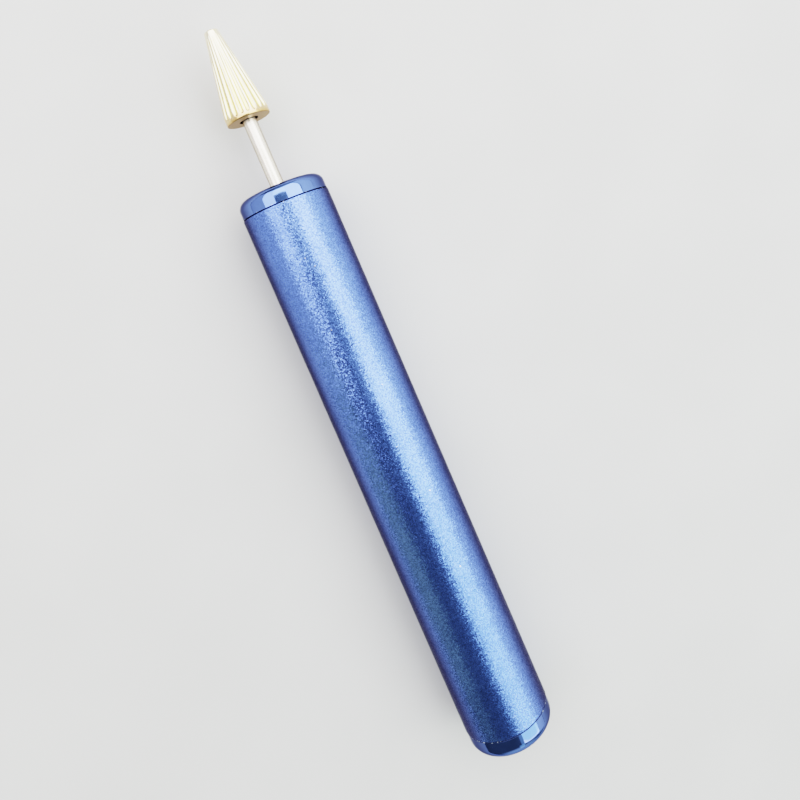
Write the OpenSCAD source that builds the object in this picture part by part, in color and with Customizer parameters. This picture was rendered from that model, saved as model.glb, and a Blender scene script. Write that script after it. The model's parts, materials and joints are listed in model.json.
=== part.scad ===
// Edge dye roller pen: a fluted brass cone on a steel shaft that spins in two
// ball bearings, inside a tubular aluminium handle closed by two end caps.
//
// All sizes are in millimetres. The pen lies along X: the origin is the centre
// of the handle's rear end face, and +X points to the roller's tip. +Z is up.

/* [Barrel] */
// Outside diameter of the handle tube
tube_d = 16; // [15:0.5:18]
// Length of the handle tube
tube_len = 100; // [80:1:130]
// Bore of the handle tube
tube_bore_d = 13; // [12.5:0.1:13.5]

/* [End caps] */
// Outside diameter of both caps, a little under the tube
cap_d = 15.8; // [15:0.1:16]
// Length of the front cap outside the tube
front_cap_len = 3.2; // [2.8:0.1:4]
// Rounding of the front cap's outer edge
front_cap_round = 1.7; // [1:0.1:2]
// Length of the rear cap outside the tube
rear_cap_len = 3.8; // [3:0.1:5]
// Rounding of the rear cap's outer edge
rear_cap_round = 2; // [1:0.1:2.4]
// Length of the rear cap's plug inside the tube
rear_plug_len = 8; // [6:0.5:12]

/* [Roller] */
// Length of the roller, from its back face to its tip
roller_len = 16.8; // [14:0.1:20]
// Diameter of the short collar behind the cone, which is the cone's widest
roller_base_d = 8; // [7.6:0.1:9]
// Length of that collar
roller_collar_len = 1.6; // [1.3:0.1:2]
// Cone diameter at the tip, before its edge is rounded
roller_tip_d = 2.5; // [2.2:0.1:3]
// Number of flutes around the cone
flute_count = 22; // [16:1:24]
// Depth of a flute at its deep end, by the back face
flute_depth = 0.3; // [0.1:0.02:0.36]

/* [Spindle] */
// Diameter of the shaft
shaft_d = 2.5; // [2.5:0.1:2.5]
// Length of bare shaft between the front cap and the roller
shaft_reach = 13; // [8:0.5:20]
// Distance between the two bearings, filled by the spacers
bearing_gap = 12; // [6:0.5:14]

/* [Hidden] */
$fn = 96;

// Fits and small edges
press_gap = 0.01;      // radial room left in a pressed or glued seat
edge_break = 0.12;     // chamfer on turned outer edges
lead_in = 0.5;         // chamfer on the end of a plug
glue_groove_w = 1.2;   // width of a glue groove round a plug
glue_groove_depth = 0.2;
glue_groove_shares = [0.3, 0.6]; // where the grooves start, as shares of the plug
plug_hollow_r = 4.5;   // hollow in the rear cap's plug
rear_floor_t = 2.4;    // end wall of the rear cap

// Miniature shielded ball bearing, 2.5 x 8 x 4
bearing_d = 8;
bearing_w = 4;
ball_d = 1.5;
ball_count = 7;
pitch_r = (shaft_d + bearing_d) / 4;
ball_play = 0.02;      // room between a ball and its raceway
race_land = 0.475;     // from the ball's centre circle to a ring's shoulder
inner_land_r = pitch_r - race_land;
outer_land_r = pitch_r + race_land;
ring_edge = 0.15;      // chamfer on the rings' outside and bore edges
shield_t = 0.2;
shield_seat_r = outer_land_r + 0.25;
shield_seat_depth = 0.35;
shield_clearance = 0.1;
cage_back = 0.95;      // cage behind the ball plane
cage_front = 0.4;      // cage prongs ahead of the ball plane
cage_side_gap = 0.12;  // room between the cage and each ring
pocket_play = 0.05;

// Clips and washer
e_clip_d = 4.8;
e_clip_t = 0.5;
e_clip_groove_d = 1.9;
e_clip_rim = 0.65;     // radial width of the clip's outer band
e_clip_tab_w = 0.9;
e_clip_mouth = 1.9;
circlip_t = 0.8;
circlip_groove_r = bearing_d / 2 + 0.22;
circlip_band = 1.1;    // radial width of the ring
circlip_lug_r = 2.3;   // how near the axis the lugs reach
circlip_lug_w = 1.3;
circlip_gap = 1.4;     // opening between the lugs
circlip_hole_d = 0.8;
circlip_hole_in = 0.7; // from the lug's inner end to the hole's centre
circlip_play = 0.02;   // between the ring's edge and the bottom of its groove
washer_d = 3.8;
washer_t = 1;
clip_groove_play = 0.1; // extra width of a clip's groove
inner_spacer_step = 0.3; // how far the inner spacer stays below the ring's shoulder

// Shaft and roller details
shaft_hole_d = shaft_d + 0.4;
shaft_end_chamfer = 0.25;
shaft_tail = 1;         // shaft left behind the rear clip
housing_skirt = 2;      // length of the front cap's plug behind the circlip
roller_bore_depth = 10;
roller_recess_d = 3.4;  // counterbore around the shaft in the back face
roller_recess_depth = 0.8;
drill_point_angle = 59; // half of a drill's point angle
roller_base_round = 0.25;
roller_tip_round = 0.35;
flute_start = 1.0;      // from the back face to the centre of a flute's deep end
flute_start_r = 0.5;    // radius of the flute there
flute_fade = 1.2;       // from the tip face to the centre of a flute's shallow end
flute_fade_r = 0.2;
flute_fade_depth = 0.03;

// Stations along X
tube_x = rear_cap_len;
front_seam_x = tube_x + tube_len;
cap_face_x = front_seam_x + front_cap_len;
roller_x = cap_face_x + shaft_reach;
relief_depth = 1.2;     // pocket ahead of the front bearing, for the clip
relief_r = e_clip_d / 2 + 0.4;
cap_wall = 1.2;         // front wall that the shaft passes through
front_bearing_x = cap_face_x - cap_wall - relief_depth - bearing_w;
rear_bearing_x = front_bearing_x - bearing_gap - bearing_w;
circlip_x = rear_bearing_x - circlip_t;
washer_x = rear_bearing_x - washer_t;
rear_clip_x = washer_x - e_clip_t;
shaft_tail_x = rear_clip_x - shaft_tail;
plug_end_x = circlip_x - housing_skirt;

// Puts a shape made along Z at station x, along the pen's axis.
module along_x(x) {
    translate([x, 0, 0]) rotate([0, 90, 0]) children();
}

// Half section of a ring or disc, as [inner radius, outer radius] x [from, to].
module band(r_in, r_out, from, to) {
    translate([r_in, from]) square([r_out - r_in, to - from]);
}

// Half section of a right-angled triangle that breaks an outer edge at (r, z).
// dz is +1 if the material lies above the edge, -1 if it lies below.
module edge_cut(r, z, size, dz) {
    polygon([
        [r - 2 * size, z - dz * size],
        [r + size, z + dz * 2 * size],
        [r + size, z - dz * size]
    ]);
}

// ---------------------------------------------------------------- handle

module barrel_tube() {
    color("#2b4f9e") along_x(tube_x) rotate_extrude() difference() {
        band(tube_bore_d / 2, tube_d / 2, 0, tube_len);
        edge_cut(tube_d / 2, 0, edge_break, 1);
        edge_cut(tube_d / 2, tube_len, edge_break, -1);
    }
}

// Half section of a cap's visible disc, from z = 0 at its tube side to len.
module cap_disc(len, round) {
    r = cap_d / 2;
    difference() {
        intersection() {
            union() {
                band(0, r, 0, len - round);
                band(0, r - round, 0, len);
                translate([r - round, len - round]) circle(round);
            }
            band(0, r, 0, len);
        }
        edge_cut(r, 0, edge_break, 1);
    }
}

// Half section of the plug that a cap pushes into the tube, from z = -len to 0.
module cap_plug(len) {
    r = tube_bore_d / 2 - press_gap;
    difference() {
        band(0, r, -len, 0);
        edge_cut(r, -len, lead_in, 1);
        for (share = glue_groove_shares)
            band(r - glue_groove_depth, r + 1, -len * share, -len * share + glue_groove_w);
    }
}

module front_cap() {
    to_local = -front_seam_x;
    color("#31579f") along_x(front_seam_x) rotate_extrude() difference() {
        union() {
            cap_disc(front_cap_len, front_cap_round);
            cap_plug(front_seam_x - plug_end_x);
        }
        band(0, shaft_hole_d / 2, to_local, front_cap_len + 1);
        band(0, relief_r, front_bearing_x + to_local, cap_face_x - cap_wall + to_local);
        band(0, bearing_d / 2 + press_gap, plug_end_x - 1 + to_local,
             front_bearing_x + bearing_w + to_local);
        band(0, circlip_groove_r, circlip_x - clip_groove_play + to_local,
             circlip_x + circlip_t + to_local);
    }
}

module rear_cap() {
    color("#27468f") translate([rear_cap_len, 0, 0]) rotate([0, -90, 0]) rotate_extrude()
        difference() {
            union() {
                cap_disc(rear_cap_len, rear_cap_round);
                cap_plug(rear_plug_len);
            }
            band(0, plug_hollow_r, -rear_plug_len - 1, rear_cap_len - rear_floor_t);
        }
}

// --------------------------------------------------------------- bearings

// Circle that the balls run in, as a half section with z = 0 at the ball plane.
module raceway() {
    translate([pitch_r, bearing_w / 2]) circle(ball_d / 2 + ball_play);
}

module bearing_outer_ring(x) {
    r = bearing_d / 2;
    color("#b9bcc0") along_x(x) rotate_extrude() difference() {
        band(outer_land_r, r, 0, bearing_w);
        raceway();
        band(0, shield_seat_r, -1, shield_seat_depth);
        band(0, shield_seat_r, bearing_w - shield_seat_depth, bearing_w + 1);
        edge_cut(r, 0, ring_edge, 1);
        edge_cut(r, bearing_w, ring_edge, -1);
    }
}

module bearing_inner_ring(x) {
    r = shaft_d / 2 + press_gap;
    color("#c4c6ca") along_x(x) rotate_extrude() difference() {
        band(r, inner_land_r, 0, bearing_w);
        raceway();
        for (end = [0, 1])
            translate([0, end * bearing_w]) mirror([0, end])
                polygon([[0, -1], [r + ring_edge + 1, -1], [r, ring_edge], [0, ring_edge]]);
    }
}

module bearing_shield(x) {
    color("#d3d5d8") along_x(x) rotate_extrude()
        band(inner_land_r + shield_clearance, shield_seat_r - press_gap, 0, shield_t);
}

// Crown cage: a ring behind the balls, with pockets that open to the front.
module bearing_cage(x) {
    color("#a98a4c") along_x(x + bearing_w / 2) difference() {
        rotate_extrude()
            band(inner_land_r + cage_side_gap, outer_land_r - cage_side_gap,
                 -cage_back, cage_front);
        place_balls() sphere(ball_d / 2 + pocket_play);
    }
}

module place_balls() {
    for (i = [0 : ball_count - 1])
        rotate([0, 0, i * 360 / ball_count]) translate([pitch_r, 0, 0]) children();
}

module bearing_balls(x) {
    color("#e4e6e9") along_x(x + bearing_w / 2) place_balls() sphere(ball_d / 2);
}

// ------------------------------------------------- spacers, clips, washer

module outer_spacer() {
    color("#c9ccd1") along_x(rear_bearing_x + bearing_w) rotate_extrude()
        band(outer_land_r, bearing_d / 2 - press_gap, 0, bearing_gap);
}

module inner_spacer() {
    color("#c9ccd1") along_x(rear_bearing_x + bearing_w) rotate_extrude()
        band(shaft_d / 2 + press_gap, inner_land_r - inner_spacer_step, 0, bearing_gap);
}

module rear_washer() {
    color("#b5b8bc") along_x(washer_x) rotate_extrude()
        band(shaft_d / 2 + press_gap, washer_d / 2, 0, washer_t);
}

// Retaining ring in the housing bore, with two drilled lugs beside its opening.
module bore_circlip() {
    r_out = circlip_groove_r - circlip_play;
    lug_y = circlip_gap / 2;
    color("#3c3f45") along_x(circlip_x) linear_extrude(circlip_t) difference() {
        union() {
            difference() {
                circle(r_out);
                circle(r_out - circlip_band);
            }
            intersection() {
                circle(r_out);
                for (side = [-1, 1])
                    translate([circlip_lug_r, side > 0 ? lug_y : -lug_y - circlip_lug_w])
                        square([r_out, circlip_lug_w]);
            }
        }
        translate([0, -lug_y]) square([2 * r_out, circlip_gap]);
        for (side = [-1, 1])
            translate([circlip_lug_r + circlip_hole_in, side * (lug_y + circlip_lug_w / 2)])
                circle(d = circlip_hole_d);
    }
}

// E-shaped clip: a band with three tabs that bear on the shaft's groove.
module e_clip(x) {
    r = e_clip_d / 2;
    tab_r = e_clip_groove_d / 2 + press_gap;
    color("#3c3f45") along_x(x) linear_extrude(e_clip_t) difference() {
        union() {
            difference() {
                circle(r);
                circle(r - e_clip_rim);
            }
            intersection() {
                circle(r - e_clip_rim / 2);
                for (angle = [0, 125, -125])
                    rotate(angle) translate([0, -e_clip_tab_w / 2]) square([r, e_clip_tab_w]);
            }
        }
        circle(tab_r);
        translate([-2 * r, -e_clip_mouth / 2]) square([2 * r, e_clip_mouth]);
    }
}

// ---------------------------------------------------------------- spindle

module spindle_shaft() {
    len = roller_x + roller_bore_depth - shaft_tail_x;
    r = shaft_d / 2;
    color("#cfd0d2") along_x(shaft_tail_x) rotate_extrude() difference() {
        band(0, r, 0, len);
        edge_cut(r, 0, shaft_end_chamfer, 1);
        edge_cut(r, len, shaft_end_chamfer, -1);
        for (clip_x = [rear_clip_x, front_bearing_x + bearing_w])
            band(e_clip_groove_d / 2, r + 1, clip_x - shaft_tail_x,
                 clip_x - shaft_tail_x + e_clip_t + clip_groove_play);
    }
}

cone_slope = (roller_base_d - roller_tip_d) / 2 / (roller_len - roller_collar_len);
cone_angle = atan(cone_slope);

// Cone radius at height z above the back face. Below the collar's end the cone's
// line runs on outside the collar.
function cone_r(z) = roller_base_d / 2 + cone_slope * (roller_collar_len - z);

// Centre of a circle of radius round at height z that touches the cone line.
function corner_r(z, round) = cone_r(z) - round / cos(cone_angle);

// Point at height off from the cone's surface, measured square to it.
function off_cone(z, off) = [cone_r(z) + off * cos(cone_angle), z + off * sin(cone_angle)];

// Half section of the collar and cone, with a round at each outer edge.
module roller_section() {
    base_r = roller_base_d / 2;
    tip_z = roller_len - roller_tip_round;
    tip_c = corner_r(tip_z, roller_tip_round);
    normal = [cos(cone_angle), sin(cone_angle)];
    polygon([
        [0, 0], [base_r - roller_base_round, 0], [base_r, roller_base_round],
        [base_r, roller_collar_len],
        [tip_c, tip_z] + roller_tip_round * normal,
        [tip_c, roller_len], [0, roller_len]
    ]);
    translate([base_r - roller_base_round, roller_base_round]) circle(roller_base_round);
    translate([tip_c, tip_z]) circle(roller_tip_round);
}

// One flute as a solid to cut away: a round bar with ball ends, that tapers from
// its deep end by the back face to its shallow end by the tip. It follows the
// cone's line, so it runs out over the collar.
module flute_cut() {
    deep = off_cone(flute_start, flute_start_r - flute_depth);
    shallow = off_cone(roller_len - flute_fade, flute_fade_r - flute_fade_depth);
    run = shallow - deep;
    len = norm(run);
    lean = asin((flute_start_r - flute_fade_r) / len);
    side = [cos(lean), sin(lean)];
    translate([deep[0], 0, deep[1]]) rotate([0, atan2(run[0], run[1]), 0])
        rotate_extrude() intersection() {
            union() {
                circle(flute_start_r);
                polygon([[0, 0], flute_start_r * side, [0, len] + flute_fade_r * side, [0, len]]);
                translate([0, len]) circle(flute_fade_r);
            }
            translate([0, -flute_start_r]) square([flute_start_r, 2 * len]);
        }
}

module roller_head() {
    bore_r = shaft_d / 2 + press_gap;
    color("#d9b45a") along_x(roller_x) difference() {
        rotate_extrude() difference() {
            roller_section();
            band(0, bore_r, -1, roller_bore_depth);
            polygon([
                [0, roller_bore_depth], [bore_r, roller_bore_depth],
                [0, roller_bore_depth + bore_r / tan(drill_point_angle)]
            ]);
            band(0, roller_recess_d / 2, -1, roller_recess_depth);
        }
        for (i = [0 : flute_count - 1])
            rotate([0, 0, (i + 0.5) * 360 / flute_count]) flute_cut();
    }
}

// ------------------------------------------------------------------ nodes

barrel_tube();
front_cap();
rear_cap();
bearing_outer_ring(front_bearing_x);  // front_bearing_outer_ring
bearing_shield(front_bearing_x + bearing_w - shield_seat_depth);  // front_bearing_front_shield
bearing_shield(front_bearing_x + shield_seat_depth - shield_t);  // front_bearing_rear_shield
bearing_outer_ring(rear_bearing_x);  // rear_bearing_outer_ring
bearing_shield(rear_bearing_x + bearing_w - shield_seat_depth);  // rear_bearing_front_shield
bearing_shield(rear_bearing_x + shield_seat_depth - shield_t);  // rear_bearing_rear_shield
outer_spacer();
bore_circlip();
roller_head();
spindle_shaft();
e_clip(front_bearing_x + bearing_w);  // front_e_clip
bearing_inner_ring(front_bearing_x);  // front_bearing_inner_ring
inner_spacer();
bearing_inner_ring(rear_bearing_x);  // rear_bearing_inner_ring
rear_washer();
e_clip(rear_clip_x);  // rear_e_clip
bearing_cage(front_bearing_x);  // front_bearing_cage
bearing_balls(front_bearing_x);  // front_bearing_balls
bearing_cage(rear_bearing_x);  // rear_bearing_cage
bearing_balls(rear_bearing_x);  // rear_bearing_balls
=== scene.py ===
"""An edge dye roller pen on a pale floor: blue anodised handle, steel shaft, fluted brass roller.

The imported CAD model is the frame. The five pieces that show are rebuilt here as fine turned
meshes of the same sizes, and the pieces inside keep their CAD meshes and get materials.
"""

import json
import math

import bmesh
import bpy
from mathutils import Matrix, Vector


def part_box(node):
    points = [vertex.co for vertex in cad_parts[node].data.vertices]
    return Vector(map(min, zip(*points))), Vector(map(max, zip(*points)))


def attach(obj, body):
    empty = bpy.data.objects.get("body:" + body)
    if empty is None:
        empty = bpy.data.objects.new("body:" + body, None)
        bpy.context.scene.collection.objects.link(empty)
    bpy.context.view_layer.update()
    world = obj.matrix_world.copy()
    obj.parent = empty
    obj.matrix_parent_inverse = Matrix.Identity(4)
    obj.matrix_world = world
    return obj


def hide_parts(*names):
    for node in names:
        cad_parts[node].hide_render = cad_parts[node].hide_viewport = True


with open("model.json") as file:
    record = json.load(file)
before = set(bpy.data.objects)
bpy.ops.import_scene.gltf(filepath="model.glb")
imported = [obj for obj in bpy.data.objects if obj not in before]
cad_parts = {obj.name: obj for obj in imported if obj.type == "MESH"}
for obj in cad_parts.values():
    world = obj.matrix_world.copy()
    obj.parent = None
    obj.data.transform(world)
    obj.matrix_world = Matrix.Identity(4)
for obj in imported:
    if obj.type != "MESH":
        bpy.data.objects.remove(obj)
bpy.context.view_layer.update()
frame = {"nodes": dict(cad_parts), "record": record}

MM = 0.001

# ------------------------------------------------------------------ sizes from the frame


def span(node):
    """(lowest x, highest x, outside radius) of a turned CAD node."""
    low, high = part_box(node)
    return low.x, high.x, max(high.y, -low.y, high.z, -low.z)


TUBE_BACK, TUBE_FRONT, TUBE_R = span("barrel_tube")
FRONT_CAP_BACK, FRONT_CAP_FACE, CAP_R = span("front_cap")
REAR_CAP_FACE, REAR_CAP_FRONT, _ = span("rear_cap")
SHAFT_TAIL, SHAFT_NOSE, SHAFT_R = span("spindle_shaft")
ROLLER_BACK, ROLLER_TIP, ROLLER_BASE_R = span("roller_head")
_, FRONT_BEARING_FRONT, BEARING_R = span("front_bearing_outer_ring")
CIRCLIP_BACK, CIRCLIP_FRONT, CIRCLIP_R = span("bore_circlip")
FRONT_CLIP_BACK, FRONT_CLIP_FRONT, CLIP_R = span("front_e_clip")
REAR_CLIP_BACK, _, _ = span("rear_e_clip")

# Sizes of the handle that no box shows, as part.scad has them
BORE_R = 6.5 * MM
SEAT_GAP = 0.01 * MM
EDGE_BREAK = 0.12 * MM
FRONT_CAP_ROUND = 1.7 * MM
REAR_CAP_ROUND = 2.0 * MM
REAR_HOLLOW_R = 4.5 * MM
REAR_FLOOR = 2.4 * MM
CAP_WALL = 1.2 * MM
PLUG_LEAD_IN = 0.5 * MM
GLUE_GROOVE_WIDTH = 1.2 * MM
GLUE_GROOVE_DEPTH = 0.2 * MM
GLUE_GROOVE_ENDS = (0.3, 0.6)       # where the two grooves end, as shares of the plug's length
CIRCLIP_PLAY = 0.02 * MM            # room round the circlip in its groove
CLIP_ROOM = 0.4 * MM                # room round the E-clip, in the space ahead of the bearing
SHAFT_HOLE_R = SHAFT_R + 0.2 * MM
SHAFT_HOLE_CHAMFER = 0.15 * MM

# The shaft, likewise
SHAFT_CHAMFER = 0.25 * MM
CLIP_GROOVE_R = 0.95 * MM
CLIP_GROOVE_PLAY = 0.1 * MM

# The roller, likewise. z is the height above its back face
ROLLER_LEN = ROLLER_TIP - ROLLER_BACK
ROLLER_COLLAR = 1.6 * MM
ROLLER_TIP_R = 1.25 * MM
ROLLER_BASE_ROUND = 0.25 * MM
ROLLER_TIP_ROUND = 0.35 * MM
ROLLER_BORE_DEPTH = 10 * MM
ROLLER_RECESS_R, ROLLER_RECESS_DEPTH = 1.7 * MM, 0.8 * MM
RECESS_CHAMFER = 0.05 * MM
DRILL_HALF_ANGLE = math.radians(59)
CONE_SLOPE = (ROLLER_BASE_R - ROLLER_TIP_R) / (ROLLER_LEN - ROLLER_COLLAR)
CONE_ANGLE = math.atan(CONE_SLOPE)

# Each flute is cut by a round bar, from its start near the collar to where it fades near the tip
FLUTES = 22
FLUTE_START, FLUTE_START_R, FLUTE_START_DEPTH = 1.0 * MM, 0.5 * MM, 0.3 * MM
FLUTE_FADE, FLUTE_FADE_R, FLUTE_FADE_DEPTH = 1.2 * MM, 0.2 * MM, 0.03 * MM
FLUTE_LIP = 0.012 * MM              # rounding of the ridge between two flutes
UNCUT_BACK = 0.2 * MM               # the bar never reaches lower than this
UNCUT_TIP_R = 0.8 * ROLLER_TIP_R    # nor nearer to the axis than this

# How finely the pieces are turned
HANDLE_SEGMENTS = 192
SHAFT_SEGMENTS = 96
SEGMENTS_PER_FLUTE = 24
DOME_STEPS = 14
TUBE_CORNER_EASE = 0.05 * MM
SHARP_ANGLE = math.radians(28)

# The stage
FLOOR_CENTRE = (0.07, 0, -TUBE_R)
FLOOR_HALF_WIDTH = 1.5
FLOOR_SOLID, FLOOR_END = 0.30, 0.46     # distances at which the floor starts and ends melting away
BACKDROP_RADIANCE = 1.05
LIGHT_DISTANCE = 0.5

# ------------------------------------------------------------------ turned meshes


def arc(centre, radius, start, end, steps):
    """Points on an arc in the (x, r) half section, with angles in degrees from +x towards +r."""
    angles = [math.radians(start + (end - start) * i / steps) for i in range(steps + 1)]
    return [(centre[0] + radius * math.cos(a), centre[1] + radius * math.sin(a)) for a in angles]


def eased(corners, ease):
    """A closed outline of corners, with each corner cut by a small round so that it catches light."""
    out = []
    for i, (x, r) in enumerate(corners):
        here = Vector((x, r))
        before = Vector(corners[i - 1])
        after = Vector(corners[(i + 1) % len(corners)])
        to_before, to_after = before - here, after - here
        # The rounds at both ends of a short side must not meet
        cut = min(ease, to_before.length * 0.4, to_after.length * 0.4)
        a, b = here + to_before.normalized() * cut, here + to_after.normalized() * cut
        for t in (0, 0.33, 0.67, 1):
            p = a.lerp(here, t).lerp(here.lerp(b, t), t)
            out.append((p.x, p.y))
    return out


def filled_in(points, longest):
    """The same outline with long stretches divided, so that no face is a long sliver."""
    out = []
    for (x0, r0), (x1, r1) in zip(points, points[1:]):
        steps = max(1, math.ceil(math.hypot(x1 - x0, r1 - r0) / longest))
        out += [(x0 + (x1 - x0) * i / steps, r0 + (r1 - r0) * i / steps) for i in range(steps)]
    return out + [points[-1]]


def filled_in_ring(points, longest):
    """The same for a closed outline, whose last point joins its first."""
    return filled_in(points + points[:1], longest)[:-1]


def turned(name, outline, segments, closed, carve=None):
    """Turns an (x, r) outline about X. Closed outlines make a ring, others run from pole to pole.
    carve(x, r, angle) gives the depth to take off a point, for shapes cut into the turning."""
    bm = bmesh.new()
    rings = []
    for x, r in outline:
        if r == 0:
            rings.append([bm.verts.new((x, 0, 0))])
            continue
        ring = []
        for i in range(segments):
            angle = 2 * math.pi * i / segments
            radius = r - (carve(x, r, angle) if carve else 0)
            ring.append(bm.verts.new((x, radius * math.cos(angle), radius * math.sin(angle))))
        rings.append(ring)
    pairs = list(zip(rings, rings[1:]))
    if closed:
        pairs.append((rings[-1], rings[0]))
    for a, b in pairs:
        for i in range(segments):
            j = (i + 1) % segments
            corners = [a[i % len(a)], a[j % len(a)], b[j % len(b)], b[i % len(b)]]
            # A pole is one point, so the faces beside it are triangles
            bm.faces.new(list(dict.fromkeys(corners)))
    bmesh.ops.recalc_face_normals(bm, faces=bm.faces)
    mesh = bpy.data.meshes.new(name)
    bm.to_mesh(mesh)
    bm.free()
    mesh.shade_smooth()
    mesh.set_sharp_from_angle(angle=SHARP_ANGLE)
    piece = bpy.data.objects.new(name, mesh)
    bpy.context.scene.collection.objects.link(piece)
    weighted = piece.modifiers.new("weighted normals", "WEIGHTED_NORMAL")
    weighted.weight = 100       # large faces count most
    weighted.keep_sharp = True
    return piece


# ------------------------------------------------------------------ the pieces


def make_barrel():
    """The handle tube, with broken outer edges and all its corners slightly rounded."""
    corners = [
        (TUBE_BACK, BORE_R), (TUBE_BACK, TUBE_R - EDGE_BREAK), (TUBE_BACK + EDGE_BREAK, TUBE_R),
        (TUBE_FRONT - EDGE_BREAK, TUBE_R), (TUBE_FRONT, TUBE_R - EDGE_BREAK), (TUBE_FRONT, BORE_R),
    ]
    outline = filled_in_ring(eased(corners, TUBE_CORNER_EASE), 2.5 * MM)
    return turned("barrel", outline, HANDLE_SEGMENTS, closed=True)


def cap_dome(face, seam, rounding):
    """Outline of a cap outside the tube, from its end face's flat to its seam with the tube."""
    side = 1 if face > seam else -1
    centre = (face - side * rounding, CAP_R - rounding)
    quarter = arc(centre, rounding, 0 if side > 0 else 180, 90, DOME_STEPS)
    edge = [(seam + side * EDGE_BREAK, CAP_R), (seam, CAP_R - EDGE_BREAK)]
    return quarter + edge


def plug_outline(seam, end):
    """Outline of a cap's plug in the tube, from the seam to the plug's end, with two glue grooves."""
    r = BORE_R - SEAT_GAP
    length, way = abs(end - seam), (1 if end > seam else -1)
    points = [(seam, r)]
    for share in GLUE_GROOVE_ENDS:
        groove_end = seam + way * length * share
        groove_start = groove_end - way * GLUE_GROOVE_WIDTH
        points += [
            (groove_start, r), (groove_start, r - GLUE_GROOVE_DEPTH),
            (groove_end, r - GLUE_GROOVE_DEPTH), (groove_end, r),
        ]
    return points + [(end - way * PLUG_LEAD_IN, r), (end, r - PLUG_LEAD_IN)]


def make_front_cap():
    """The cap that the shaft comes out of, with its bearing housing inside."""
    bearing_r, relief_r = BEARING_R + SEAT_GAP, CLIP_R + CLIP_ROOM
    groove_back, groove_r = CIRCLIP_BACK - CLIP_GROOVE_PLAY, CIRCLIP_R + CIRCLIP_PLAY
    wall_back = FRONT_CAP_FACE - CAP_WALL
    inside = [
        (FRONT_CAP_BACK, bearing_r),
        (groove_back, bearing_r), (groove_back, groove_r),
        (CIRCLIP_FRONT, groove_r), (CIRCLIP_FRONT, bearing_r),
        (FRONT_BEARING_FRONT, bearing_r), (FRONT_BEARING_FRONT, relief_r),
        (wall_back, relief_r), (wall_back, SHAFT_HOLE_R),
        (FRONT_CAP_FACE - SHAFT_HOLE_CHAMFER, SHAFT_HOLE_R),
        (FRONT_CAP_FACE, SHAFT_HOLE_R + SHAFT_HOLE_CHAMFER),
    ]
    outline = cap_dome(FRONT_CAP_FACE, TUBE_FRONT, FRONT_CAP_ROUND)
    outline += plug_outline(TUBE_FRONT, FRONT_CAP_BACK) + inside
    outline = filled_in_ring(outline, 1.5 * MM)
    return turned("front_cap_turned", outline, HANDLE_SEGMENTS, closed=True)


def make_rear_cap():
    """The closed cap at the other end, with a hollow plug."""
    hollow_end = REAR_CAP_FACE + REAR_FLOOR
    outline = [(REAR_CAP_FACE, 0), (REAR_CAP_FACE, 1 * MM)]
    outline += cap_dome(REAR_CAP_FACE, TUBE_BACK, REAR_CAP_ROUND)
    outline += plug_outline(TUBE_BACK, REAR_CAP_FRONT)
    outline += [(REAR_CAP_FRONT, REAR_HOLLOW_R), (hollow_end, REAR_HOLLOW_R), (hollow_end, 0)]
    outline = filled_in(outline, 1.5 * MM)
    return turned("rear_cap_turned", outline, HANDLE_SEGMENTS, closed=False)


def make_shaft():
    """The shaft, with a groove for each E-clip."""
    groove_width = FRONT_CLIP_FRONT - FRONT_CLIP_BACK + CLIP_GROOVE_PLAY
    outline = [
        (SHAFT_TAIL, 0), (SHAFT_TAIL, SHAFT_R - SHAFT_CHAMFER), (SHAFT_TAIL + SHAFT_CHAMFER, SHAFT_R),
    ]
    for back in (REAR_CLIP_BACK, FRONT_CLIP_BACK):
        front = back + groove_width
        outline += [(back, SHAFT_R), (back, CLIP_GROOVE_R), (front, CLIP_GROOVE_R), (front, SHAFT_R)]
    outline += [
        (SHAFT_NOSE - SHAFT_CHAMFER, SHAFT_R), (SHAFT_NOSE, SHAFT_R - SHAFT_CHAMFER), (SHAFT_NOSE, 0),
    ]
    return turned("shaft", filled_in(outline, 1 * MM), SHAFT_SEGMENTS, closed=False)


def cone_r(z):
    """Radius of the cone's line at height z above the back face."""
    return ROLLER_BASE_R + CONE_SLOPE * (ROLLER_COLLAR - z)


def flute_depth(x, r, angle):
    """How deep the flutes cut the roller at a point of its surface, with softened ridges."""
    z = x - ROLLER_BACK
    if r < UNCUT_TIP_R or z < UNCUT_BACK:
        return 0
    # The bar that cuts the flute, at this height: its radius and how deep it goes under the cone
    end = ROLLER_LEN - FLUTE_FADE
    share = min(max((z - FLUTE_START) / (end - FLUTE_START), 0), 1)
    bar = FLUTE_START_R + (FLUTE_FADE_R - FLUTE_START_R) * share
    deep = FLUTE_START_DEPTH + (FLUTE_FADE_DEPTH - FLUTE_START_DEPTH) * share
    # Where the point lies from the bar: past its rounded ends, and across it
    past = max(FLUTE_START - z, z - end, 0)
    pitch = 2 * math.pi / FLUTES
    off = (angle + pitch / 2) % pitch - pitch / 2
    across = r * math.sin(off)
    rise = math.sqrt(max(bar * bar - across * across - past * past, 0)) - (bar - deep)
    below_cone = cone_r(z) - r
    cut = rise - max(below_cone, 0)
    # A soft step in place of max(cut, 0)
    return 0.5 * (cut + math.hypot(cut, FLUTE_LIP))


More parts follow.
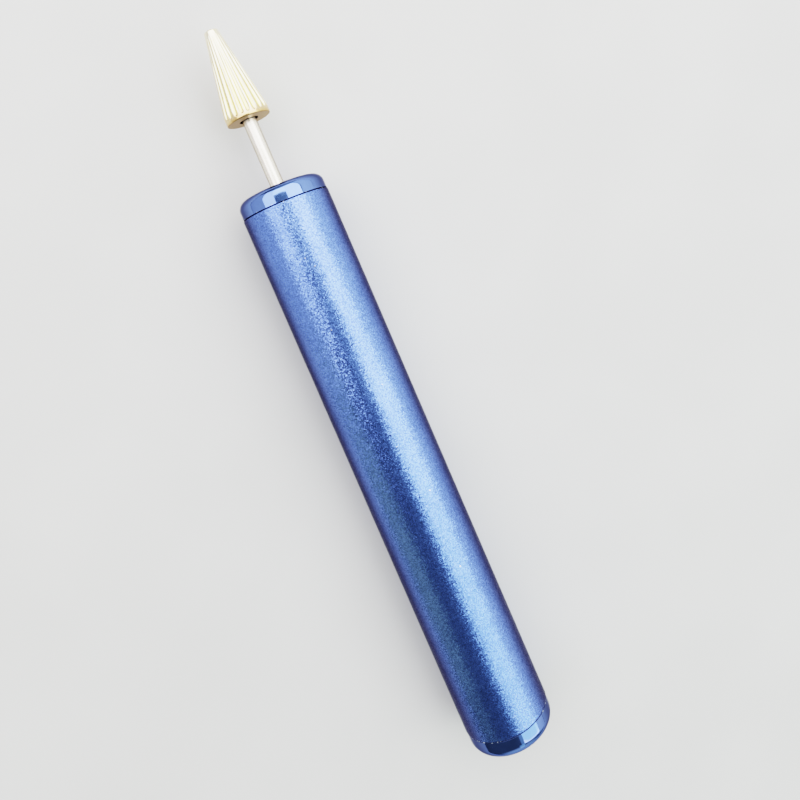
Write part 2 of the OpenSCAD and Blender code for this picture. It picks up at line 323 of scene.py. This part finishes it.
def make_roller():
    """The fluted brass cone and its collar, bored from behind for the shaft."""
    bore_r = SHAFT_R + SEAT_GAP
    slant = math.degrees(CONE_ANGLE)
    base_centre = (ROLLER_BACK + ROLLER_BASE_ROUND, ROLLER_BASE_R - ROLLER_BASE_ROUND)
    tip_z = ROLLER_LEN - ROLLER_TIP_ROUND
    tip_centre = (ROLLER_BACK + tip_z, cone_r(tip_z) - ROLLER_TIP_ROUND / math.cos(CONE_ANGLE))
    base = arc(base_centre, ROLLER_BASE_ROUND, 180, 90, 8)
    tip = arc(tip_centre, ROLLER_TIP_ROUND, 90 - slant, 0, 10)
    bottom = ROLLER_BACK + ROLLER_BORE_DEPTH
    recess_floor = ROLLER_BACK + ROLLER_RECESS_DEPTH
    inside = [
        (bottom + bore_r / math.tan(DRILL_HALF_ANGLE), 0), (bottom, bore_r),
        (recess_floor, bore_r), (recess_floor, ROLLER_RECESS_R),
        (ROLLER_BACK + RECESS_CHAMFER, ROLLER_RECESS_R), (ROLLER_BACK, ROLLER_RECESS_R + RECESS_CHAMFER),
    ]
    flanks = filled_in([base[-1], (ROLLER_BACK + ROLLER_COLLAR, ROLLER_BASE_R), tip[0]], 0.12 * MM)
    outline = filled_in(inside + base[:1], 1 * MM) + base[1:-1] + flanks + tip[1:]
    outline += [(ROLLER_TIP, 0.4 * MM), (ROLLER_TIP, 0)]
    return turned("roller", outline, FLUTES * SEGMENTS_PER_FLUTE, closed=False, carve=flute_depth)


# ------------------------------------------------------------------ materials

NOISE_SPAN = (0.3, 0.7)     # most of a noise's values lie between these


class Graph:
    """A material's node tree, with short calls for the nodes that the finishes share. Textures
    work in millimetres of the piece's own frame, so a scale is a count to the millimetre."""

    def __init__(self, name):
        self.material = bpy.data.materials.new(name)
        self.material.use_nodes = True
        self.nodes = self.material.node_tree.nodes
        self.links = self.material.node_tree.links
        self.nodes.clear()
        self.shader = self.nodes.new("ShaderNodeBsdfPrincipled")
        output = self.nodes.new("ShaderNodeOutputMaterial")
        self.links.new(self.shader.outputs[0], output.inputs["Surface"])
        coordinates = self.nodes.new("ShaderNodeTexCoord")
        self.own_normal = coordinates.outputs["Normal"]
        self.mm = self.vector_math("SCALE", coordinates.outputs["Object"], scale=1 / MM)

    def put(self, socket, value):
        """Feeds an input from another node's output, or sets it to a value."""
        if hasattr(value, "is_output"):
            self.links.new(value, socket)
        elif value is not None:
            socket.default_value = value

    def set(self, **inputs):
        """Feeds the shader's inputs by name, with _ for a space."""
        for name, value in inputs.items():
            self.put(self.shader.inputs[name.replace("_", " ")], value)

    def vector_math(self, operation, a, b=None, scale=None):
        node = self.nodes.new("ShaderNodeVectorMath")
        node.operation = operation
        self.put(node.inputs[0], a)
        self.put(node.inputs[1], b)
        if scale is not None:
            node.inputs["Scale"].default_value = scale
        return node.outputs["Value" if operation in ("LENGTH", "DOT_PRODUCT") else "Vector"]

    def math(self, operation, a, b=None, clamp=False):
        node = self.nodes.new("ShaderNodeMath")
        node.operation = operation
        node.use_clamp = clamp
        self.put(node.inputs[0], a)
        self.put(node.inputs[1], b)
        return node.outputs[0]

    def noise(self, scale, detail=2.0, roughness=0.5, vector=None):
        node = self.nodes.new("ShaderNodeTexNoise")
        self.put(node.inputs["Vector"], vector or self.mm)
        node.inputs["Scale"].default_value = scale
        node.inputs["Detail"].default_value = detail
        node.inputs["Roughness"].default_value = roughness
        return node.outputs[0]

    def rings(self, value):
        """Noise that depends on one value alone: rings about the pen where that is a radius."""
        node = self.nodes.new("ShaderNodeTexNoise")
        node.noise_dimensions = "1D"
        self.put(node.inputs["W"], value)
        return node.outputs[0]

    def cells(self, scale):
        """A Voronoi node, with a random colour in each cell and the distance from its middle."""
        node = self.nodes.new("ShaderNodeTexVoronoi")
        self.put(node.inputs["Vector"], self.mm)
        node.inputs["Scale"].default_value = scale
        return node

    def between(self, value, low, high, to_low=0.0, to_high=1.0):
        """Carries the range low to high to the range to_low to to_high, with soft ends."""
        node = self.nodes.new("ShaderNodeMapRange")
        node.interpolation_type = "SMOOTHSTEP"
        for name, number in (("Value", value), ("From Min", low), ("From Max", high),
                             ("To Min", to_low), ("To Max", to_high)):
            self.put(node.inputs[name], number)
        return node.outputs[0]

    def varied(self, scale, low, high, detail=2.0, roughness=0.5):
        """A value that wanders from low to high in soft patches."""
        return self.between(self.noise(scale, detail, roughness), *NOISE_SPAN, low, high)

    def mix(self, factor, a, b, blend="MIX"):
        node = self.nodes.new("ShaderNodeMix")
        node.data_type = "RGBA"
        node.blend_type = blend
        sockets = {s.identifier: s for s in node.inputs}
        self.put(sockets["Factor_Float"], factor)
        for key, value in (("A_Color", a), ("B_Color", b)):
            self.put(sockets[key], (*value, 1) if isinstance(value, tuple) else value)
        return next(s for s in node.outputs if s.identifier == "Result_Color")

    def shaded(self, colour, shade):
        """The colour, darker or lighter by a grey value."""
        node = self.nodes.new("ShaderNodeCombineColor")
        for channel in node.inputs:
            self.put(channel, shade)
        return self.mix(1.0, colour, node.outputs[0], "MULTIPLY")

    def stretched(self, x, y, z):
        """The place in millimetres, times a factor along each axis."""
        return self.vector_math("MULTIPLY", self.mm, (x, y, z))

    def bump(self, height, strength, distance_mm, after=None):
        """The normal bent by a height, on top of another normal if one is given."""
        node = self.nodes.new("ShaderNodeBump")
        node.inputs["Strength"].default_value = strength
        node.inputs["Distance"].default_value = distance_mm * MM
        self.put(node.inputs["Height"], height)
        self.put(node.inputs["Normal"], after)
        return node.outputs[0]

    def tilted(self, cells, amount):
        """The normal with a random tilt of its own in each cell, like the facets of a blasted metal."""
        normal = self.nodes.new("ShaderNodeNewGeometry").outputs["Normal"]
        tilt = self.vector_math("SUBTRACT", cells.outputs["Color"], (0.5, 0.5, 0.5))
        tilt = self.vector_math("SCALE", tilt, scale=amount)
        return self.vector_math("NORMALIZE", self.vector_math("ADD", normal, tilt))

    def split(self, vector):
        """The x, y and z of a vector."""
        node = self.nodes.new("ShaderNodeSeparateXYZ")
        self.links.new(vector, node.inputs[0])
        return node.outputs

    def x(self):
        """The station along the pen, in mm."""
        return self.split(self.mm)[0]

    def normal_z(self):
        """The upward part of the surface's normal, in the piece's own frame."""
        return self.split(self.own_normal)[2]

    def radius(self):
        """Distance from the pen's axis, in mm."""
        return self.vector_math("LENGTH", self.stretched(0, 1, 1))

    def radius_from_middle(self):
        """Distance from the object's own origin, in mm."""
        return self.vector_math("LENGTH", self.mm)

    def facing(self):
        """0 where the surface is seen square on, rising to 1 where it is seen edge on."""
        return self.nodes.new("ShaderNodeLayerWeight").outputs["Facing"]


def near(g, x, place, reach_mm):
    """1 at a station along X, fading to 0 at reach_mm from it."""
    off = g.math("ABSOLUTE", g.math("SUBTRACT", x, place / MM))
    return g.between(off, 0.0, reach_mm, 1.0, 0.0)


def in_seams(g, colour, x):
    """(the colour with painted shade darkening the two seams, where the gaps between the parts fall into
    shadow, and bright chips beside them; the seams' mask, which also marks dirt there).
    The rear seam has a few patches of chips, and the front one only single specks."""
    both = g.math("MAXIMUM", near(g, x, TUBE_BACK, 0.26), near(g, x, TUBE_FRONT, 0.26))
    seam_shade_and_dirt = g.between(both, 0.30, 0.75)
    # Painted shade: the seams are darkened nearly to black, standing in for the shadow in the gaps
    # between tube and caps
    colour = g.mix(seam_shade_and_dirt, colour, (0.012, 0.014, 0.03))
    specks = g.between(g.noise(1.9, 3, 0.7), 0.55, 0.62)
    patches = g.between(g.noise(0.22, 0), 0.47, 0.55)
    rear = g.math("MULTIPLY", near(g, x, TUBE_BACK, 0.3), specks, clamp=True)
    rear = g.math("MULTIPLY", rear, patches)
    few_specks = g.between(g.noise(2.1, 2, 0.7), 0.64, 0.68)
    front = g.math("MULTIPLY", near(g, x, TUBE_FRONT, 0.3), few_specks, clamp=True)
    bare_metal = (0.70, 0.79, 0.92)
    return g.mix(g.math("MAXIMUM", rear, front), colour, bare_metal), seam_shade_and_dirt


def with_painted_side_shade(g, straight, side_shade_colour):
    """A colour with painted shade on its sides: where the surface faces sideways and is seen at a low
    angle, it is darkened towards the shade colour, standing in for the dark surroundings it would
    reflect there.
    """
    sideways = g.between(g.normal_z(), 0.6, 0.95, 1.0, 0.0)
    side_shade = g.math("MULTIPLY", g.between(g.facing(), 0.12, 0.70), sideways)
    return g.mix(side_shade, straight, side_shade_colour)


def barrel_material():
    """Bead-blasted, blue anodised aluminium: a sparkling grain, specks of dust, painted shade on its
    sides, and painted shade and dirt in the seams.
    """
    g = Graph("barrel_blue")
    # The blue with painted shade on its sides, darker where they are seen at a low angle
    blue = with_painted_side_shade(g, (0.149, 0.254, 0.80), (0.070, 0.078, 0.142))
    # Each facet of the grain has a tilt of its own, and a shade that is scrambled so that it
    # doesn't follow the tilt
    facets = g.cells(6.0)
    scrambled = g.math("FRACT", g.math("MULTIPLY", facets.outputs["Color"], 7.31))
    facet_shade = g.between(scrambled, 0, 1, 0.72, 1.28)
    cloud = g.varied(0.12, 0.94, 1.05)
    fine = g.varied(7, 0.90, 1.10, 1, 0.6)
    colour = g.shaded(blue, g.math("MULTIPLY", g.math("MULTIPLY", cloud, facet_shade), fine))
    dust = g.between(g.cells(0.32).outputs["Distance"], 0.035, 0.06, 1.0, 0.0)
    dust = g.math("MULTIPLY", dust, g.between(g.noise(0.9, 1), 0.46, 0.52), clamp=True)
    colour = g.mix(dust, colour, (0.62, 0.70, 0.86))
    # Painted shade in the seams, with dirt that also makes them rougher
    colour, seam_shade_and_dirt = in_seams(g, colour, g.x())
    rough = g.math("ADD", g.varied(2.2, 0.24, 0.26), g.math("MULTIPLY", seam_shade_and_dirt, 0.3))
    grain = g.bump(g.noise(6.5, 1), 1.0, 0.004, g.tilted(facets, 0.20))
    g.set(Base_Color=colour, Metallic=1.0, Roughness=rough, Normal=grain)
    g.set(Specular_Tint=(0.42, 0.40, 0.48, 1))
    return g.material


def cap_material():
    """Turned and polished blue anodised aluminium, with faint turning rings, painted shade on its sides,
    and painted shade and dirt in the seams.
    """
    g = Graph("cap_blue")
    # The blue with painted shade on its sides, darker where they are seen at a low angle
    blue = with_painted_side_shade(g, (0.155, 0.255, 0.70), (0.080, 0.095, 0.190))
    colour = g.shaded(blue, g.varied(0.5, 0.94, 1.05, 3))
    # Painted shade in the seams, with dirt that also makes them rougher
    colour, seam_shade_and_dirt = in_seams(g, colour, g.x())
    polish = g.between(g.noise(3, 3), 0.35, 0.7, 0.05, 0.09)
    rough = g.math("ADD", polish, g.math("MULTIPLY", seam_shade_and_dirt, 0.4))
    side_rings = g.noise(9, 1, vector=g.stretched(1, 0, 0))
    face_rings = g.rings(g.math("MULTIPLY", g.radius(), 6.0))
    turning = g.bump(g.math("ADD", side_rings, face_rings), 0.10, 0.004)
    ripple = g.bump(g.noise(1.6, 2), 0.12, 0.01, turning)
    g.set(Base_Color=colour, Metallic=1.0, Roughness=rough, Normal=ripple)
    g.set(Specular_Tint=(0.48, 0.48, 0.60, 1))
    return g.material


def brass_roller_material():
    """Polished brass with lengthwise polishing marks, and painted shade: darker yellow in the flutes,
    browner on the collar, brown on the back face and dark in its recess. The back face is also duller."""
    g = Graph("roller_brass")
    z = g.math("SUBTRACT", g.x(), ROLLER_BACK / MM)
    past_collar = g.math("MAXIMUM", g.math("SUBTRACT", z, ROLLER_COLLAR / MM), 0.0)
    cone = g.math("SUBTRACT", ROLLER_BASE_R / MM, g.math("MULTIPLY", past_collar, CONE_SLOPE))
    depth = g.math("SUBTRACT", cone, g.radius())
    # Masks of the painted shade: in the flutes, on the collar, on the back face and in the recess
    flute_shade = g.math("MULTIPLY", g.between(depth, 0.03, 0.22), 0.55)
    collar_shade = g.between(z, 0.1, ROLLER_COLLAR / MM + 0.3, 0.85, 0.0)
    back_shade_and_dullness = g.between(z, 0.02, 0.2, 1.0, 0.0)
    inside_rim = g.between(g.radius(), ROLLER_RECESS_R / MM, ROLLER_RECESS_R / MM + 0.15, 1.0, 0.0)
    recess_shade = g.math("MULTIPLY", inside_rim, g.between(z, 1.0, 0.6), clamp=True)
    colour = g.mix(g.varied(0.7, 0, 1, 3), (1.0, 0.94, 0.72), (0.99, 0.88, 0.58))
    # Painted shade, darkening the flutes, the collar, the back face and the recess
    colour = g.mix(flute_shade, colour, (0.92, 0.74, 0.10))
    colour = g.mix(collar_shade, colour, (0.66, 0.40, 0.13))
    colour = g.mix(g.math("MULTIPLY", back_shade_and_dullness, 0.95), colour, (0.36, 0.22, 0.09))
    colour = g.mix(g.math("MULTIPLY", recess_shade, 0.9), colour, (0.03, 0.02, 0.015))
    marks = g.noise(6, 3, 0.6, g.stretched(0.12, 1, 1))
    rough = g.math("ADD", g.between(marks, 0.35, 0.7, 0.12, 0.2), g.math("MULTIPLY", back_shade_and_dullness, 0.25))
    g.set(Base_Color=colour, Metallic=1.0, Roughness=rough, Normal=g.bump(marks, 0.16, 0.01))
    return g.material


def shaft_material():
    """Ground steel, with fine marks round the shaft, a faint warm cast and painted warm shade on its
    sides where they are seen at a low angle.
    """
    g = Graph("shaft_steel")
    marks = g.noise(5, 3, 0.6, g.stretched(3.0, 0.25, 0.25))
    colour = g.mix(g.varied(0.4, 0, 1), (1.0, 0.95, 0.84), (0.96, 0.90, 0.78))
    # Painted shade: darker and warmer on the sides where the shaft is seen at a low angle
    colour = g.mix(g.between(g.facing(), 0.25, 0.85), colour, (0.40, 0.33, 0.25))
    g.set(Base_Color=colour, Metallic=1.0, Specular_Tint=(0.5, 0.42, 0.34, 1))
    g.set(Roughness=g.between(marks, 0.35, 0.7, 0.24, 0.32), Normal=g.bump(marks, 0.05, 0.004))
    return g.material


def plain_metal(name, light, dark, rough, grain_scale, grain_depth):
    """A machined or pressed metal for the pieces inside: two tones, a grain and a varied polish."""
    g = Graph(name)
    grain = g.noise(grain_scale, 2, 0.6)
    g.set(Base_Color=g.mix(g.varied(0.8, 0, 1, 3), light, dark), Metallic=1.0)
    g.set(Roughness=g.between(grain, *NOISE_SPAN, rough * 0.85, rough * 1.15))
    g.set(Normal=g.bump(grain, 0.15, grain_depth))
    return g.material


def floor_material():
    """A matt pale studio floor with a very slight mottle, melting into the backdrop far from the pen."""
    g = Graph("pale_floor")
    far = (FLOOR_SOLID / MM, FLOOR_END / MM)
    g.set(Alpha=g.between(g.radius_from_middle(), *far, 1.0, 0.0), Roughness=0.65)
    g.set(Base_Color=g.mix(g.varied(0.03, 0, 1), (0.56, 0.56, 0.555), (0.59, 0.59, 0.585)))
    g.set(Normal=g.bump(g.noise(1.4, 3), 0.06, 0.05))
    return g.material


# name: its two tones, roughness, grain to the millimetre and the grain's depth in mm
INSIDE_METALS = {
    "bearing_steel": ((0.72, 0.73, 0.75), (0.66, 0.67, 0.70), 0.18, 6.0, 0.003),
    "shield_steel": ((0.66, 0.67, 0.69), (0.58, 0.59, 0.61), 0.32, 8.0, 0.004),
    "cage_brass": ((0.72, 0.56, 0.28), (0.60, 0.44, 0.20), 0.38, 7.0, 0.005),
    "clip_steel": ((0.16, 0.165, 0.18), (0.10, 0.10, 0.11), 0.42, 9.0, 0.004),
    "spacer_aluminium": ((0.76, 0.77, 0.79), (0.68, 0.69, 0.71), 0.30, 5.0, 0.004),
}

MATERIALS = {name: plain_metal(name, *look) for name, look in INSIDE_METALS.items()}
MATERIALS["barrel_blue"] = barrel_material()
MATERIALS["cap_blue"] = cap_material()
MATERIALS["roller_brass"] = brass_roller_material()
MATERIALS["shaft_steel"] = shaft_material()

# ------------------------------------------------------------------ put it together


def finish_piece(piece, node, body, slot):
    """A new piece takes a CAD node's place, body and material."""
    piece.data.materials.append(MATERIALS[slot])
    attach(piece, body)
    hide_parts(node)


def finish_cad_nodes():
    """Every CAD node gets its slot's material."""
    for part in frame["record"]["subparts"]:
        node = frame["nodes"][part["node"]]
        node.data.materials.clear()
        node.data.materials.append(MATERIALS[part["material_slot"]])


finish_cad_nodes()
finish_piece(make_barrel(), "barrel_tube", "handle", "barrel_blue")
finish_piece(make_front_cap(), "front_cap", "handle", "cap_blue")
finish_piece(make_rear_cap(), "rear_cap", "handle", "cap_blue")
finish_piece(make_shaft(), "spindle_shaft", "spindle", "shaft_steel")
finish_piece(make_roller(), "roller_head", "spindle", "roller_brass")

# ------------------------------------------------------------------ stage


def make_floor():
    """A wide plain floor that the barrel rests on."""
    bm = bmesh.new()
    bmesh.ops.create_grid(bm, x_segments=4, y_segments=4, size=FLOOR_HALF_WIDTH)
    mesh = bpy.data.meshes.new("floor")
    bm.to_mesh(mesh)
    bm.free()
    mesh.materials.append(floor_material())
    floor = bpy.data.objects.new("floor", mesh)
    floor.location = FLOOR_CENTRE
    bpy.context.scene.collection.objects.link(floor)


def softbox(name, leans, stations, radiance, colour):
    """A rectangular area light beside the pen's axis. leans gives the angles from straight up that
    its two long edges are seen at, positive towards +Y, and stations where it starts and ends."""
    lean, half = math.radians(sum(leans) / 2), math.radians(abs(leans[1] - leans[0]) / 2)
    data = bpy.data.lights.new(name, "AREA")
    data.shape = "RECTANGLE"
    data.size = stations[1] - stations[0]
    data.size_y = 2 * LIGHT_DISTANCE * math.tan(half)
    data.energy = radiance * math.pi * data.size * data.size_y
    data.color = colour
    lamp = bpy.data.objects.new(name, data)
    outward = Vector((0, math.sin(lean), math.cos(lean)))
    along = Vector((1, 0, 0))
    lamp.matrix_world = Matrix((along, outward.cross(along), outward)).transposed().to_4x4()
    lamp.location = outward * LIGHT_DISTANCE + along * sum(stations) / 2
    lamp.visible_camera = False
    bpy.context.scene.collection.objects.link(lamp)


def make_room():
    """A dim room around the soft boxes, lighter behind the key and past the pen's rear end. The camera
    sees a plain pale backdrop in its place."""
    dim = 0.14
    world = bpy.data.worlds.new("room")
    world.use_nodes = True
    nodes, links = world.node_tree.nodes, world.node_tree.links
    view = nodes.new("ShaderNodeTexCoord").outputs["Generated"]

    def glow(towards, edge, bright):
        """Dim, rising to bright as a direction nears towards. edge is the cosine where it starts."""
        nearness = nodes.new("ShaderNodeVectorMath")
        nearness.operation = "DOT_PRODUCT"
        nearness.inputs[1].default_value = Vector(towards).normalized()
        links.new(view, nearness.inputs[0])
        level = nodes.new("ShaderNodeMapRange")
        level.interpolation_type = "SMOOTHSTEP"
        links.new(nearness.outputs["Value"], level.inputs["Value"])
        for name, number in (("From Min", edge), ("From Max", 1.0), ("To Min", dim), ("To Max", bright)):
            level.inputs[name].default_value = number
        return level.outputs[0]

    brighter = nodes.new("ShaderNodeMath")
    brighter.operation = "MAXIMUM"
    behind_key, past_rear_end = (0.35, -0.9, 0.2), (-1.0, 0.0, 0.2)
    links.new(glow(behind_key, -0.2, 0.75), brighter.inputs[0])
    links.new(glow(past_rear_end, 0.82, 0.9), brighter.inputs[1])
    room = nodes["Background"]
    room.inputs["Color"].default_value = (1.0, 1.04, 0.93, 1)
    links.new(brighter.outputs[0], room.inputs["Strength"])
    backdrop = nodes.new("ShaderNodeBackground")
    backdrop.inputs["Color"].default_value = (1.0, 1.0, 0.99, 1)
    backdrop.inputs["Strength"].default_value = BACKDROP_RADIANCE
    seen = nodes.new("ShaderNodeMixShader")
    links.new(nodes.new("ShaderNodeLightPath").outputs["Is Camera Ray"], seen.inputs[0])
    links.new(room.outputs[0], seen.inputs[1])
    links.new(backdrop.outputs[0], seen.inputs[2])
    links.new(seen.outputs[0], nodes["World Output"].inputs["Surface"])
    bpy.context.scene.world = world


def make_lights():
    """A bright key along the -Y side and a fill along the +Y side, each in stretches, because the
    handle's front, middle and rear mirror lights of different strength and tint. The gap between
    them, above the pen, is filled faintly at the front and closed far past the pen's tip. A dim
    panel far past the rear end shows only in the rear cap's rounding."""
    softbox("key_end", (-63, -13), (-0.50, -0.40), 4.0, (1.0, 0.94, 0.97))
    softbox("key_rear", (-63, -13), (-0.40, -0.16), 2.3, (0.76, 1.0, 1.0))
    softbox("key_edge", (-13, -4), (-0.50, -0.16), 0.4, (0.80, 1.0, 1.0))
    softbox("rear_panel", (-13, 3), (-1.2, -0.42), 0.6, (0.70, 1.0, 0.95))
    softbox("key_middle", (-63, -13), (-0.16, 0.05), 3.4, (0.93, 0.995, 1.0))
    softbox("key_front", (-53, -13), (0.05, 0.95), 3.6, (1.0, 0.97, 1.0))
    softbox("key_low", (-90.5, -56), (-0.50, 0.95), 0.8, (1.0, 0.97, 1.0))
    softbox("fill", (20, 50), (0.05, 0.95), 3.2, (1.0, 0.96, 1.0))
    softbox("fill_low", (50, 90.5), (-0.02, 0.95), 0.8, (1.0, 0.96, 1.0))
    softbox("fill_rear", (46, 90.5), (-0.31, -0.02), 0.34, (0.95, 1.0, 0.48))
    softbox("gap", (-13, 20), (0.02, 0.19), 0.18, (0.75, 0.95, 1.0))
    softbox("bridge", (-13, 20), (0.19, 0.95), 4.0, (1.0, 0.99, 0.96))
    make_room()


def hold_shift(camera, shift):
    """Shifts the picture while the camera stands where it is now, and not once it is moved away,
    so that the other views of the pen stay centred."""
    spot = bpy.data.objects.new("viewpoint", None)
    spot.location = camera.location
    bpy.context.scene.collection.objects.link(spot)
    curve = camera.data.driver_add("shift_y")
    for extra in list(curve.modifiers):
        curve.modifiers.remove(extra)
    curve.keyframe_points.clear()
    curve.keyframe_points.add(2)
    for point, moved_by, value in zip(curve.keyframe_points, (0, 1 * MM), (shift, 0)):
        point.co = (moved_by, value)
        point.interpolation = "CONSTANT"
    curve.driver.type = "SUM"
    moved = curve.driver.variables.new()
    moved.type = "LOC_DIFF"
    moved.targets[0].id = camera
    moved.targets[1].id = spot


def make_camera():
    """The viewpoint: above the front half, the pen's tip pointing up and to the left. The picture
    is the lower square of an upright 3 by 4 frame, so the lens is shifted."""
    at = Vector((91.16, -0.09, 132.67)) * MM
    aim = Vector((85.67, -14.34, 0)) * MM
    lean = math.radians(23.36)
    data = bpy.data.cameras.new("camera")
    data.sensor_width = 36
    data.lens = 33.33
    data.clip_start = 0.01
    data.clip_end = 10
    camera = bpy.data.objects.new("camera", data)
    forward = (aim - at).normalized()
    right = forward.cross(Vector((math.cos(lean), -math.sin(lean), 0))).normalized()
    up = right.cross(forward)
    camera.matrix_world = Matrix((right, up, -forward)).transposed().to_4x4()
    camera.location = at
    bpy.context.scene.collection.objects.link(camera)
    bpy.context.scene.camera = camera
    hold_shift(camera, -1 / 6)


make_floor()
make_lights()
make_camera()
bpy.context.scene.view_settings.view_transform = "Filmic"
bpy.context.scene.view_settings.look = "High Contrast"
